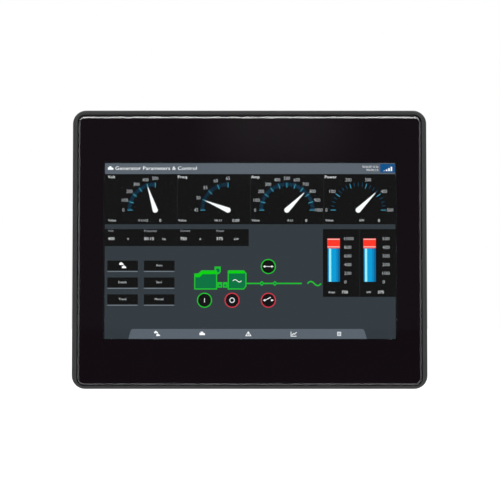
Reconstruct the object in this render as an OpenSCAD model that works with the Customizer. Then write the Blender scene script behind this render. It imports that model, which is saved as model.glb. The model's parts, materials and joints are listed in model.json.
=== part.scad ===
// Panel-mount operator panel with a flush glass front.
// X runs to the right, Z up and Y into the cabinet. The front looks towards -Y, and y = 0 is the plane
// of the gasket that seats on the cabinet wall. All sizes are in millimetres.

/* [Front] */
// Width of the front frame
front_w = 187; // [184:1:190]
// Height of the front frame
front_h = 147; // [145:1:150]
// Thickness of the front, from its face to the seat plane
front_depth = 8; // [8:0.5:9]
// Radius of the front frame's outer corners
corner_r = 7; // [6:0.1:8]
// Width of the frame's rim at the left and right
rim_w = 2.5; // [2:0.05:2.7]
// Width of the frame's rim at the top
rim_top_w = 2.15; // [1.8:0.05:2.4]
// Width of the frame's rim at the bottom
rim_bottom_w = 1.55; // [1.4:0.05:2.4]
// Width of the groove between the rim and the glass
groove_w = 0.6; // [0.3:0.1:0.9]
// Width of the groove along the top, where the glass sits a little lower
groove_top_w = 1.15; // [0.6:0.05:1.4]
// Radius of the cover glass's corners
glass_r = 3.4; // [2:0.1:5]
// Thickness of the cover glass
glass_t = 1.8; // [1.6:0.1:1.8]
// Width of the polished bevel round the glass
bevel_w = 0.85; // [0.5:0.05:1.1]
// Depth of the polished bevel
bevel_d = 0.35; // [0.2:0.05:0.5]

/* [Display] */
// Width of the lit picture
view_w = 154.2; // [150:0.1:154.6]
// Height of the lit picture
view_h = 93.2; // [90:0.1:93.6]
// Offset of the picture's centre to the right
view_x = 0.24; // [0:0.01:0.5]
// Offset of the picture's centre upwards
view_z = -0.6; // [-1:0.1:0]

/* [Rear housing] */
// Width of the housing behind the flange
housing_w = 172; // [172:1:174]
// Height of the housing behind the flange
housing_h = 132; // [132:1:134]
// Depth of the whole rear behind the seat plane
rear_depth = 47; // [47:1:50]
// Thickness of the housing's walls
wall = 2.2; // [2:0.1:2.4]
// Thickness of the sealing gasket
gasket_t = 1; // [0.8:0.1:1.2]

/* [Panel clamps] */
// Distance of each clamp from the middle
clamp_x = 70; // [69:0.5:71]
// How far a clamp's pad travels towards the cabinet wall
pad_travel = 7; // [6:0.5:7]
// How far a bracket slides forward to come off its hooks
hook_travel = 4; // [3:0.5:4]
// Radius of the clamp screw's thread
clamp_thread_r = 2; // [1.9:0.05:2]

/* [Sockets] */
// Places of the sockets along the bottom edge: serial, two network, bus, earth and supply
socket_x = [-46, -21.5, -3.5, 15, 31.5, 48]; // [-60:0.5:60]
// Number of supply terminals
poles = 3; // [2:1:3]

/* [Hidden] */
$fn = 48;
// Extra length of a cutting tool past the face it leaves
over = 1;

// Depths of the front's layers, from the glass backwards
glass_y = -front_depth + 0.1;
ink_y = glass_y + glass_t;
tape_y = ink_y + 0.1;
ledge_y = tape_y + 0.4;
flange_y = -gasket_t;
// The pocket that the glass lies in, and the glass
pocket_w = front_w - 2 * rim_w;
pocket_h = front_h - rim_top_w - rim_bottom_w;
pocket_z = (rim_bottom_w - rim_top_w) / 2;
pocket_r = glass_r + groove_w;
glass_w = pocket_w - 2 * groove_w;
glass_h = pocket_h - groove_w - groove_top_w;
glass_z = pocket_z - (groove_top_w - groove_w) / 2;
// The display module and the opening that it drops into from behind
module_w = 165;
module_h = 104;
opening_gap = 0.5;
frame_y = tape_y + 0.7;
cell_y = frame_y + 0.3;
films_y = cell_y + 1.3;
guide_y = films_y + 0.4;
tray_y = flange_y - 0.7;
cell_w = 162;
cell_h = 99;
// The steel plate behind the display
plate_t = 1.2;
plate_y = flange_y + plate_t;
plate_w = housing_w - 2 * wall - 1;
plate_h = housing_h - 2 * wall - 1;
// The housing
back_y = rear_depth - 1.5;
back_in_y = back_y - wall;
housing_r = 5;
bottom_z = -housing_h / 2;
bottom_in_z = bottom_z + wall;
side_x = -housing_w / 2;
post_x = 78;
post_z = 58;
post_r = 3.5;
screw_r = 1.45;
thread_r = 1.5;
clear_r = 1.7;
// The main board, parallel to the display
board_y = 10;
board_t = 1.6;
top_y = board_y + board_t;
board_w = 155;
board_low_z = -61.6;
board_high_z = 52;
board_holes = [[-72, 46], [0, 46], [72, 46], [-72, -44], [4, -30], [72, -44]];
chassis_holes = [[-45, 58], [0, 58], [45, 58], [-45, -58], [0, -58], [45, -58]];
cpu_at = [12, 14];
battery_at = [-40, 37];
card_z = 10;
// The option bay in the back
bay_at = [38, 22];
bay_w = 66;
bay_h = 46;
bay_lip = 6;
// A clamp: heights are above the middle, depths are behind the seat plane
bracket_gap = 0.25;
bracket_t = 1.2;
clamp_z = housing_h / 2 + 3.8;
bracket_y = 13;
lug_y = 31;
lug_end_y = 36.5;
hook_y = [15, 26];
hook_w = 6;
hook_t = 2;
hook_toe = 4;
pad_y = 8.5;
pad_t = 4;
pad_r = 3.2;
pad_bore_r = 1.55;
clamp_run = 0.05;
head_r = 3.4;
head_y = lug_end_y + pad_travel + 0.4;
head_t = 3;

// ---- Shared shapes -------------------------------------------------------------------------------

// A flat shape seen from the front, thickened from depth y0 to depth y1
module slab(y0, y1) {
    translate([0, y1, 0]) rotate([90, 0, 0]) linear_extrude(y1 - y0) children();
}

// A rectangle with round corners
module round_rect(w, h, r) {
    square([w - 2 * r, h], center = true);
    square([w, h - 2 * r], center = true);
    for (x = [-1, 1], z = [-1, 1]) translate([x * (w / 2 - r), z * (h / 2 - r)]) circle(r);
}

// A band between two round-cornered rectangles
module band(w, h, r, inner_w, inner_h, inner_r) {
    difference() {
        round_rect(w, h, r);
        round_rect(inner_w, inner_h, inner_r);
    }
}

// A profile run round a round-cornered rectangle. The profile's x counts outwards from the corner's
// centre, and its y counts towards the viewer.
module run_round(w, h, r) {
    rotate([90, 0, 0])
        for (k = [0 : 3]) rotate([0, 0, 90 * k]) {
            a = (k % 2 == 0) ? w : h;
            b = (k % 2 == 0) ? h : w;
            translate([a / 2 - r, b / 2 - r, 0]) rotate_extrude(angle = 90) children();
            translate([a / 2 - r, b / 2 - r, 0]) rotate([90, 0, 0]) linear_extrude(b - 2 * r) children();
        }
}

// What a rounded edge of radius r takes off a square corner that points to +x and +y
module edge_round(r) {
    translate([-r, -r]) difference() {
        square(r + over);
        circle(r);
    }
}

// A rod along Y
module rod(x, z, y0, y1, r, sides = 48) {
    translate([x, y1, z]) rotate([90, 0, 0]) cylinder(r = r, h = y1 - y0, $fn = sides);
}

// A box from its centre in x and z, its size, and its depths
module block(x, z, w, h, y0, y1) {
    translate([x - w / 2, y0, z - h / 2]) cube([w, y1 - y0, h]);
}

// A pan-head screw along Y whose head sits on depth y and whose shank points to the front
module pan_screw(x, z, y, length, r, head) {
    difference() {
        union() {
            rod(x, z, y - length, y + 0.01, r);
            rod(x, z, y, y + head * 0.62, head);
        }
        for (turn = [0, 90])
            translate([x, y + head * 0.62, z]) rotate([0, turn, 0]) cube([head, head * 0.7, head * 0.2], center = true);
    }
}

// A flat strip along a bent line in the YZ plane, w wide about x
module strip(points, t, x, w) {
    translate([x - w / 2, 0, 0]) rotate([90, 0, 90]) linear_extrude(w)
        for (k = [0 : len(points) - 2]) {
            run = points[k + 1] - points[k];
            translate(points[k]) rotate(atan2(run[1], run[0])) translate([0, -t / 2]) square([norm(run), t]);
            translate(points[k]) circle(t / 2);
        }
}

// The D outline of a nine-way serial plug, wider towards the board
module d_outline(w, h, cut) {
    polygon([
        [-w / 2 + cut, -h / 2], [w / 2 - cut, -h / 2], [w / 2, -h / 2 + cut], [w / 2 - h / 6, h / 2 - cut],
        [w / 2 - h / 6 - cut, h / 2], [-w / 2 + h / 6 + cut, h / 2], [-w / 2 + h / 6, h / 2 - cut],
        [-w / 2, -h / 2 + cut]
    ]);
}

// A flat shape seen from below, thickened from height z0 to height z1. The shape's y is the depth.
module tile(z0, z1) {
    translate([0, 0, z0]) linear_extrude(z1 - z0) children();
}

// ---- Front ---------------------------------------------------------------------------------------

module front_bezel() {
    color([0.23, 0.23, 0.24]) difference() {
        union() {
            run_round(front_w, front_h, corner_r) difference() {
                translate([corner_r - 4, gasket_t]) square([4, front_depth - gasket_t]);
                translate([corner_r, front_depth]) edge_round(0.9);
                translate([corner_r, gasket_t]) mirror([0, 1]) edge_round(0.5);
            }
            slab(ledge_y, flange_y) round_rect(front_w - 2, front_h - 2, corner_r - 1);
        }
        slab(-front_depth - over, ledge_y) translate([0, pocket_z]) round_rect(pocket_w, pocket_h, pocket_r);
        slab(ledge_y - over, flange_y + over) translate([view_x, view_z])
            round_rect(module_w + 2 * opening_gap, module_h + 2 * opening_gap, 1);
        for (p = chassis_holes) rod(p[0], p[1], flange_y - 4, flange_y + over, thread_r);
        for (x = [-1, 1], z = [-1, 1]) rod(x * post_x, z * post_z, flange_y - 4, flange_y + over, thread_r);
    }
}

module cover_glass() {
    color([0.02, 0.02, 0.025]) translate([0, 0, glass_z]) union() {
        slab(glass_y + bevel_d, ink_y) round_rect(glass_w, glass_h, glass_r);
        slab(glass_y, ink_y) round_rect(glass_w - 2 * bevel_w, glass_h - 2 * bevel_w, glass_r - bevel_w);
        run_round(glass_w, glass_h, glass_r) translate([glass_r, -glass_y - bevel_d])
            polygon([[0, 0], [0, -0.2], [-bevel_w - 0.2, -0.2], [-bevel_w - 0.2, bevel_d], [-bevel_w, bevel_d]]);
    }
}

module ink_border() {
    color([0.01, 0.01, 0.01]) slab(ink_y, tape_y) difference() {
        translate([0, glass_z]) round_rect(glass_w - 0.6, glass_h - 0.6, glass_r - 0.3);
        translate([view_x, view_z]) square([view_w + 0.8, view_h + 0.8], center = true);
    }
}

module glass_adhesive() {
    color([0.1, 0.1, 0.1]) slab(tape_y, ledge_y) difference() {
        translate([0, glass_z]) round_rect(glass_w - 1, glass_h - 1, glass_r - 0.5);
        translate([view_x, view_z]) square([module_w + 2, module_h + 2], center = true);
    }
}

module touch_sensor() {
    color([0.75, 0.8, 0.82]) slab(tape_y, tape_y + 0.3) translate([view_x, view_z])
        square([module_w, module_h], center = true);
}

module touch_tail() {
    tail_z = view_z - module_h / 2 - opening_gap / 2;
    color([0.75, 0.45, 0.1]) strip(
        [[tape_y + 0.15, tail_z], [4, tail_z], [6.5, tail_z + 2], [8.6, tail_z + 3]], 0.15, -30, 12);
}

module panel_gasket() {
    color([0.06, 0.06, 0.06]) slab(flange_y, 0)
        band(front_w - 1, front_h - 1, corner_r - 0.5, front_w - 10, front_h - 10, 1.5);
}

// ---- Display module ------------------------------------------------------------------------------

module lcd_gasket() {
    color([0.12, 0.12, 0.12]) slab(tape_y + 0.3, frame_y) translate([view_x, view_z]) difference() {
        square([cell_w, cell_h + 2], center = true);
        square([view_w + 2.3, view_h + 2.3], center = true);
    }
}

module lcd_frame() {
    color([0.6, 0.61, 0.62]) translate([view_x, 0, view_z]) {
        slab(frame_y, cell_y) difference() {
            square([module_w, module_h], center = true);
            square([view_w + 1.4, view_h + 1.4], center = true);
        }
        slab(frame_y, tray_y + 0.3) difference() {
            square([module_w, module_h], center = true);
            square([module_w - 0.6, module_h - 0.6], center = true);
        }
    }
}

module lcd_panel() {
    color([0.1, 0.11, 0.13]) slab(cell_y, films_y) translate([view_x, view_z])
        square([cell_w, cell_h], center = true);
}

module diffuser_sheets() {
    color([0.92, 0.92, 0.92]) slab(films_y, guide_y) translate([view_x, view_z])
        square([cell_w, cell_h], center = true);
}

module light_guide() {
    color([0.85, 0.9, 0.92]) slab(guide_y, tray_y) translate([view_x, view_z + 1.5])
        square([cell_w - 1, cell_h - 3.5], center = true);
}

module led_strip() {
    low_z = view_z - cell_h / 2 + 0.4;
    leds = 18;
    pitch = 8.6;
    color([0.95, 0.9, 0.6]) union() {
        block(view_x, low_z + 0.4, cell_w - 2, 0.8, guide_y, tray_y);
        for (k = [0 : leds - 1])
            block(view_x + (k - (leds - 1) / 2) * pitch, low_z + 1.4, 3, 1.3, guide_y + 0.2, tray_y - 0.2);
    }
}

module backlight_tray() {
    color([0.9, 0.9, 0.88]) translate([view_x, 0, view_z]) {
        slab(tray_y, flange_y) square([module_w - 1.4, module_h - 1.4], center = true);
        slab(cell_y, tray_y + 0.1) difference() {
            square([module_w - 1.4, module_h - 1.4], center = true);
            square([cell_w + 0.4, cell_h + 0.4], center = true);
        }
    }
}

module lcd_cable() {
    color([0.75, 0.45, 0.1]) strip([[flange_y + 0.1, -44], [3, -44], [6, -40.5], [8.4, -38.8]], 0.2, 32, 24);
}

// ---- Structure -----------------------------------------------------------------------------------

module chassis_plate() {
    color([0.7, 0.71, 0.72]) difference() {
        slab(flange_y, plate_y) round_rect(plate_w, plate_h, 3.5);
        for (p = chassis_holes) rod(p[0], p[1], flange_y - over, plate_y + over, clear_r);
        for (x = [-1, 1], z = [-1, 1]) rod(x * post_x, z * post_z, flange_y - over, plate_y + over, clear_r);
        block(-30, -52.6, 16, 3, flange_y - over, plate_y + over);
        block(32, -44, 28, 3, flange_y - over, plate_y + over);
    }
}

module chassis_screws() {
    color([0.75, 0.75, 0.76]) for (p = chassis_holes) pan_screw(p[0], p[1], plate_y, 4.5, screw_r, 2.7);
}

// Windows in the housing's bottom wall, one for each socket
module bottom_windows() {
    cut_low = bottom_z - over;
    cut_high = bottom_in_z + over;
    tile(cut_low, cut_high) {
        translate([socket_x[0] - 9.3, 13]) square([18.6, 10]);
        for (side = [-1, 1]) translate([socket_x[0] + side * 12.495, 18]) circle(1.6);
        for (k = [1, 2]) translate([socket_x[k] - 8.3, 11.3]) square([16.6, 14]);
        translate([socket_x[3] - 6.9, 11.3]) square([13.8, 6.3]);
        translate([socket_x[4], 18]) circle(2.1);
        translate([socket_x[5] - 9.2, 12.2]) square([18.4, 12]);
    }
}

// A row of n narrow slots about x = 0, seen from above
module vent_row(n, pitch, y0, y1) {
    for (k = [0 : n - 1]) translate([(k - (n - 1) / 2) * pitch, (y0 + y1) / 2]) {
        square([2, y1 - y0 - 2], center = true);
        for (s = [-1, 1]) translate([0, s * (y1 - y0 - 2) / 2]) circle(1);
    }
}

module rear_housing() {
    color([0.2, 0.2, 0.21]) difference() {
        union() {
            run_round(housing_w, housing_h, housing_r) difference() {
                translate([housing_r - wall, -back_y]) square([wall, back_y + gasket_t]);
                translate([housing_r, -back_y]) mirror([0, 1]) edge_round(2);
            }
            slab(back_in_y, back_y) round_rect(housing_w - 4.2, housing_h - 4.2, housing_r - 2.1);
            for (x = [-1, 1], z = [-1, 1]) rod(x * post_x, z * post_z, plate_y, back_in_y + 0.1, post_r);
        }
        for (x = [-1, 1], z = [-1, 1]) {
            rod(x * post_x, z * post_z, 0, back_y + over, clear_r);
            rod(x * post_x, z * post_z, back_y - 1.8, back_y + over, 3.1);
        }
        bottom_windows();
        tile(bottom_in_z + over, housing_h / 2 + over) vent_row(23, 5, 19, 37);
        tile(bottom_z - over, 0) vent_row(23, 5, 29, 40);
        for (x = [-1, 1], z = [-1, 1], y = hook_y)
            block(x * clamp_x, z * (housing_h - wall) / 2, hook_w + 0.6, wall + 2,
                  y - hook_travel - 0.3, y + hook_t + 0.3);
        translate([side_x - over, 11.2, card_z - 12.7]) cube([wall + 2 * over, 3.7, 25.4]);
        slab(back_in_y - over, back_y + over) {
            translate(bay_at) round_rect(bay_w, bay_h, 2);
            translate([-41, 26]) vent_row(11, 5, -17, 17);
        }
        for (x = [-1, 1], z = [-1, 1])
            rod(bay_at[0] + x * bay_w / 2 + x * 3, bay_at[1] + z * (bay_h / 2 - 4), back_in_y - over,
                back_y + over, thread_r);
    }
}

module housing_screws() {
    seat_y = back_y - 1.8;
    color([0.75, 0.75, 0.76]) for (x = [-1, 1], z = [-1, 1])
        pan_screw(x * post_x, z * post_z, seat_y, seat_y - flange_y + 3.5, screw_r, 2.6);
}

module option_cover() {
    color([0.24, 0.24, 0.25]) difference() {
        slab(back_y, rear_depth - 0.3) translate(bay_at)
            round_rect(bay_w + 2 * bay_lip, bay_h + 2 * bay_lip, 3);
        for (x = [-1, 1], z = [-1, 1])
            rod(bay_at[0] + x * bay_w / 2 + x * 3, bay_at[1] + z * (bay_h / 2 - 4), back_y - over,
                rear_depth, clear_r);
    }
}

module option_cover_screws() {
    seat_y = rear_depth - 0.3;
    color([0.75, 0.75, 0.76]) for (x = [-1, 1], z = [-1, 1])
        translate([bay_at[0] + x * bay_w / 2 + x * 3, 0, bay_at[1] + z * (bay_h / 2 - 4)]) {
            rod(0, 0, seat_y - 4, seat_y + 0.01, screw_r);
            difference() {
                rod(0, 0, seat_y, seat_y + 0.3 + 1.2, 2.7);
                translate([0, seat_y + 1.5, 0]) cube([4.2, 1.4, 0.7], center = true);
            }
        }
}

module rating_plate() {
    color([0.7, 0.7, 0.7]) slab(back_y, back_y + 0.4) translate([-38, -28]) round_rect(72, 38, 1.5);
}

module earth_screw() {
    gap = 0.03;
    color([0.78, 0.72, 0.5]) translate([socket_x[4], 18, bottom_z]) {
        translate([0, 0, -3.6]) cylinder(r = 2, h = wall + 3.6 + 4);
        difference() {
            translate([0, 0, -6.2]) cylinder(r = 3.6, h = 2.6);
            translate([0, 0, -6.2]) cube([8, 1, 2.4], center = true);
        }
        for (ring = [[-1, 4.6, 1 - gap], [-2.1, 3.9, 1.1 - gap]]) translate([0, 0, ring[0]]) difference() {
            cylinder(r = ring[1], h = ring[2]);
            translate([0, 0, -over]) cylinder(r = 2.15, h = ring[2] + 2 * over);
        }
        difference() {
            translate([0, 0, wall + gap]) cylinder(r = 4.04, h = 3.2, $fn = 6);
            cylinder(r = 2.15, h = 10);
        }
    }
}

// ---- Electronics ---------------------------------------------------------------------------------

module main_board() {
    color([0.05, 0.3, 0.15]) difference() {
        block(0, (board_low_z + board_high_z) / 2, board_w, board_high_z - board_low_z, board_y, top_y);
        for (x = [-1, 1]) block(x * board_w / 2, board_low_z, 16, 20, board_y - over, top_y + over);
        for (p = board_holes) rod(p[0], p[1], board_y - over, top_y + over, clear_r);
    }
}

module board_standoffs() {
    color([0.8, 0.68, 0.35]) for (p = board_holes) difference() {
        rod(p[0], p[1], plate_y, board_y, 2.89, 6);
        rod(p[0], p[1], plate_y + 2, board_y + over, thread_r);
    }
}

module board_screws() {
    color([0.75, 0.75, 0.76]) for (p = board_holes) pan_screw(p[0], p[1], top_y, 6.5, screw_r, 2.7);
}

module processor() {
    color([0.08, 0.08, 0.09]) union() {
        block(cpu_at[0], cpu_at[1], 19, 19, top_y, top_y + 0.8);
        block(cpu_at[0], cpu_at[1], 15, 15, top_y + 0.7, top_y + 1.6);
    }
}

module thermal_pad() {
    color([0.55, 0.6, 0.75]) block(cpu_at[0], cpu_at[1], 15, 15, top_y + 1.6, top_y + 2.4);
}

module heat_sink() {
    base_y = top_y + 2.4;
    fins = 11;
    pitch = 4;
    color([0.72, 0.73, 0.75]) union() {
        block(cpu_at[0], cpu_at[1], 44, 44, base_y, base_y + 3);
        for (k = [0 : fins - 1])
            block(cpu_at[0] + (k - (fins - 1) / 2) * pitch, cpu_at[1], 1.4, 44, base_y + 2, base_y + 14);
    }
}

module memory_chips() {
    color([0.06, 0.06, 0.07]) for (z = [4, 20]) block(-24, z, 12, 9, top_y, top_y + 1.1);
    color([0.06, 0.06, 0.07]) for (x = [12, 27]) block(x, 44, 12, 9, top_y, top_y + 1.1);
}

module logic_chips() {
    chips = [[-46, -28, 10], [-21.5, -36, 7], [-3.5, -40, 7], [22, -28, 7], [48, -26, 9], [-66, -22, 6]];
    color([0.06, 0.06, 0.07]) for (c = chips) block(c[0], c[1], c[2], c[2], top_y, top_y + 1.3);
}

module inductors() {
    color([0.2, 0.2, 0.2]) for (p = [[56, 26], [56, 12]]) union() {
        block(p[0], p[1], 10.4, 10.4, top_y, top_y + 1);
        rod(p[0], p[1], top_y + 0.9, top_y + 5, 4.9);
    }
}

module capacitors() {
    color([0.15, 0.16, 0.2]) for (p = [[46, -4], [57, -4], [68, -4], [68, -16]]) union() {
        block(p[0], p[1], 8.4, 8.4, top_y, top_y + 0.8);
        rod(p[0], p[1], top_y + 0.7, top_y + 10.5, 4);
    }
}

module buzzer() {
    color([0.07, 0.07, 0.07]) difference() {
        rod(46, 42, top_y, top_y + 7.5, 6);
        rod(46, 42, top_y + 5, top_y + 9, 1.2);
    }
}

module battery_holder() {
    color([0.1, 0.1, 0.1]) difference() {
        union() {
            rod(battery_at[0], battery_at[1], top_y, top_y + 4.2, 11.8);
            block(battery_at[0], battery_at[1], 27, 9, top_y, top_y + 4.2);
        }
        rod(battery_at[0], battery_at[1], top_y + 0.8, top_y + 6, 10.15);
        block(battery_at[0], battery_at[1] - 11, 9, 6, top_y + 0.8, top_y + 6);
    }
}

module battery() {
    color([0.8, 0.8, 0.8]) union() {
        rod(battery_at[0], battery_at[1], top_y + 0.8, top_y + 2, 8.8);
        rod(battery_at[0], battery_at[1], top_y + 1.5, top_y + 4, 10);
    }
}

module board_sockets() {
    color([0.85, 0.83, 0.76]) {
        block(-30, view_z - module_h / 2 + 5.35, 16, 5, board_y - 2.4, board_y);
        block(32, -36.1, 28, 5, board_y - 2.4, board_y);
        block(-66, -34, 9, 5, top_y, top_y + 5.5);
    }
}

// ---- Sockets along the bottom edge ---------------------------------------------------------------

module ethernet_ports() {
    low_z = bottom_z - 0.3;
    color([0.7, 0.7, 0.68]) for (k = [1, 2]) difference() {
        block(socket_x[k], low_z + 8.5, 16, 17, top_y, top_y + 13.4);
        block(socket_x[k], low_z + 5.5, 11.8, 13, top_y + 3.2, top_y + 11);
        block(socket_x[k], low_z + 4.5, 6.2, 11, top_y + 1, top_y + 3.3);
    }
}

module usb_port() {
    low_z = bottom_z - 0.3;
    color([0.78, 0.78, 0.78]) union() {
        difference() {
            block(socket_x[3], low_z + 7, 13.1, 14, top_y, top_y + 5.7);
            block(socket_x[3], low_z + 5.5, 12.5, 13, top_y + 0.3, top_y + 5.4);
        }
        block(socket_x[3], low_z + 6.8, 11.1, 11, top_y + 3.2, top_y + 5.1);
    }
}

module serial_shell() {
    color([0.78, 0.78, 0.78]) translate([socket_x[0], 18, 0]) difference() {
        union() {
            tile(bottom_in_z, bottom_in_z + 0.8) difference() {
                square([30.8, 12.5], center = true);
                for (side = [-1, 1]) translate([side * 12.495, 0]) circle(1.6);
            }
            tile(bottom_z - 5.6, bottom_in_z + 0.4) d_outline(17.1, 8.6, 1.6);
        }
        tile(bottom_z - 6.6, bottom_in_z + 1.8) d_outline(16.3, 7.8, 1.5);
    }
}

module serial_insert() {
    color([0.08, 0.08, 0.09]) translate([socket_x[0], 18, 0]) {
        tile(bottom_in_z - 1, bottom_in_z + 0.9) d_outline(16.1, 7.6, 1.5);
        tile(bottom_in_z + 0.8, bottom_in_z + 12) translate([-9.5, top_y - 18]) square([19, 11]);
    }
}

module serial_pins() {
    pitch = 2.77;
    color([0.85, 0.7, 0.35]) translate([socket_x[0], 18, bottom_in_z - 6.6]) {
        for (k = [-2 : 2]) translate([k * pitch, -1.42, 0]) cylinder(r = 0.5, h = 5.6);
        for (k = [-1.5 : 1.5]) translate([k * pitch, 1.42, 0]) cylinder(r = 0.5, h = 5.6);
    }
}

module jack_posts() {
    color([0.8, 0.78, 0.7]) for (side = [-1, 1]) translate([socket_x[0] + side * 12.495, 18, 0]) difference() {
        union() {
            translate([0, 0, bottom_z - 5]) cylinder(r = 2.74, h = 5, $fn = 6);
            translate([0, 0, bottom_z - 1]) cylinder(r = 1.42, h = wall + 4);
        }
        translate([0, 0, bottom_z - 6]) cylinder(r = 1.2, h = 5.5);
    }
}

module power_header() {
    low_z = bottom_in_z + 0.2;
    color([0.1, 0.3, 0.16]) union() {
        difference() {
            block(socket_x[5], low_z + 6, 18.2, 12, top_y, top_y + 12.2);
            block(socket_x[5], low_z + 4, 16.2, 10, top_y + 1.6, top_y + 11);
        }
    }
    color([0.8, 0.8, 0.78]) for (k = [0 : poles - 1])
        block(socket_x[5] + (k - (poles - 1) / 2) * 5.08, low_z + 6, 1, 8, top_y + 5.8, top_y + 6.8);
}

module power_plug() {
    nose_z = bottom_in_z + 0.4;
    color([0.12, 0.36, 0.18]) difference() {
        union() {
            block(socket_x[5], nose_z + 3, 15.4, 10, top_y + 2, top_y + 10.6);
            block(socket_x[5], bottom_z - 3.2, 15.4, 8.2, top_y + 1, top_y + 11.6);
        }
        for (k = [0 : poles - 1]) {
            x = socket_x[5] + (k - (poles - 1) / 2) * 5.08;
            block(x, nose_z + 5, 1.6, 10, top_y + 5.5, top_y + 7.1);
            block(x, bottom_z - 6.3, 3.4, 6, top_y + 2.6, top_y + 6.8);
            rod(x, bottom_z - 3.4, top_y + 7.4, top_y + 13, 2);
        }
    }
}

module plug_screws() {
    color([0.78, 0.78, 0.76]) for (k = [0 : poles - 1])
        translate([socket_x[5] + (k - (poles - 1) / 2) * 5.08, 0, bottom_z - 3.4]) difference() {
            rod(0, 0, top_y + 7.4, top_y + 10.8, 1.85);
            translate([0, top_y + 10.8, 0]) rotate([0, 25 * k - 20, 0]) cube([5, 1.4, 0.6], center = true);
        }
}

module sd_socket() {
    color([0.75, 0.75, 0.75]) difference() {
        translate([side_x + 4.5, top_y, card_z - 13]) cube([30.2, 2.9, 26]);
        translate([side_x + 3.5, top_y + 0.25, card_z - 12.25]) cube([30.4, 2.4, 24.5]);
    }
}

module sd_card() {
    outer_x = side_x + 0.5;
    color([0.1, 0.12, 0.2]) difference() {
        translate([outer_x, top_y + 0.4, card_z - 12]) cube([32, 2.1, 24]);
        translate([outer_x + 32, 0, card_z - 12]) rotate([0, 45, 0]) cube([5.6, 40, 5.6], center = true);
    }
}

// ---- Panel clamps --------------------------------------------------------------------------------

// A clamp's corner: 1 top right, 2 top left, 3 bottom left, 4 bottom right, seen from the front
module at_clamp(k) {
    left = (k == 2 || k == 3) ? 1 : 0;
    low = (k > 2) ? 1 : 0;
    mirror([left, 0, 0]) mirror([0, 0, low]) translate([clamp_x, 0, 0]) children();
}

module clamp_bracket(k) {
    base_z = housing_h / 2 + bracket_gap;
    toe_z = housing_h / 2 - wall - 0.3;
    color([0.72, 0.72, 0.7]) at_clamp(k) difference() {
        union() {
            translate([-6, bracket_y, base_z]) cube([12, lug_end_y - bracket_y, bracket_t]);
            translate([-6, lug_y, base_z]) cube([12, lug_end_y - lug_y, clamp_z + 3.5 - base_z]);
            for (y = hook_y) {
                translate([-hook_w / 2, y, toe_z - 1.2]) cube([hook_w, hook_t, base_z + 0.1 - toe_z + 1.2]);
                translate([-hook_w / 2, y, toe_z - 1.2]) cube([hook_w, hook_t + hook_toe, 1.2]);
            }
        }
        rod(0, clamp_z, lug_y - over, lug_end_y + over, clamp_thread_r + clamp_run);
    }
}

module clamp_pad(k) {
    color([0.1, 0.1, 0.11]) at_clamp(k) difference() {
        union() {
            rod(0, clamp_z, pad_y, pad_y + 1.6, pad_r);
            rod(0, clamp_z, pad_y + 1.5, pad_y + pad_t, pad_r - 0.6);
        }
        rod(0, clamp_z, pad_y + 1.4, pad_y + pad_t + over, pad_bore_r);
    }
}

module clamp_screw(k) {
    color([0.78, 0.74, 0.6]) at_clamp(k) difference() {
        union() {
            rod(0, clamp_z, pad_y + 1.5, pad_y + pad_t + 0.2, pad_bore_r - clamp_run);
            rod(0, clamp_z, pad_y + pad_t + 0.1, head_y + 0.1, clamp_thread_r);
            rod(0, clamp_z, head_y, head_y + head_t, head_r);
        }
        translate([0, head_y + head_t, clamp_z]) cube([8, 2.6, 1], center = true);
    }
}

front_bezel();
cover_glass();
ink_border();
glass_adhesive();
touch_sensor();
touch_tail();
panel_gasket();
lcd_gasket();
lcd_frame();
lcd_panel();
diffuser_sheets();
light_guide();
led_strip();
backlight_tray();
lcd_cable();
chassis_plate();
chassis_screws();
rear_housing();
housing_screws();
option_cover();
option_cover_screws();
rating_plate();
earth_screw();
main_board();
board_standoffs();
board_screws();
processor();
thermal_pad();
heat_sink();
memory_chips();
logic_chips();
inductors();
capacitors();
buzzer();
battery_holder();
battery();
board_sockets();
ethernet_ports();
usb_port();
serial_shell();
serial_insert();
serial_pins();
jack_posts();
power_header();
power_plug();
plug_screws();
sd_socket();
sd_card();
clamp_bracket(1);  // clamp_bracket_1
clamp_bracket(2);  // clamp_bracket_2
clamp_bracket(3);  // clamp_bracket_3
clamp_bracket(4);  // clamp_bracket_4
clamp_pad(1);  // clamp_pad_1
clamp_pad(2);  // clamp_pad_2
clamp_pad(3);  // clamp_pad_3
clamp_pad(4);  // clamp_pad_4
clamp_screw(1);  // clamp_screw_1
clamp_screw(2);  // clamp_screw_2
clamp_screw(3);  // clamp_screw_3
clamp_screw(4);  // clamp_screw_4
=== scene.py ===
import json
import math

import bmesh
import bpy
from mathutils import Matrix, Vector


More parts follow.
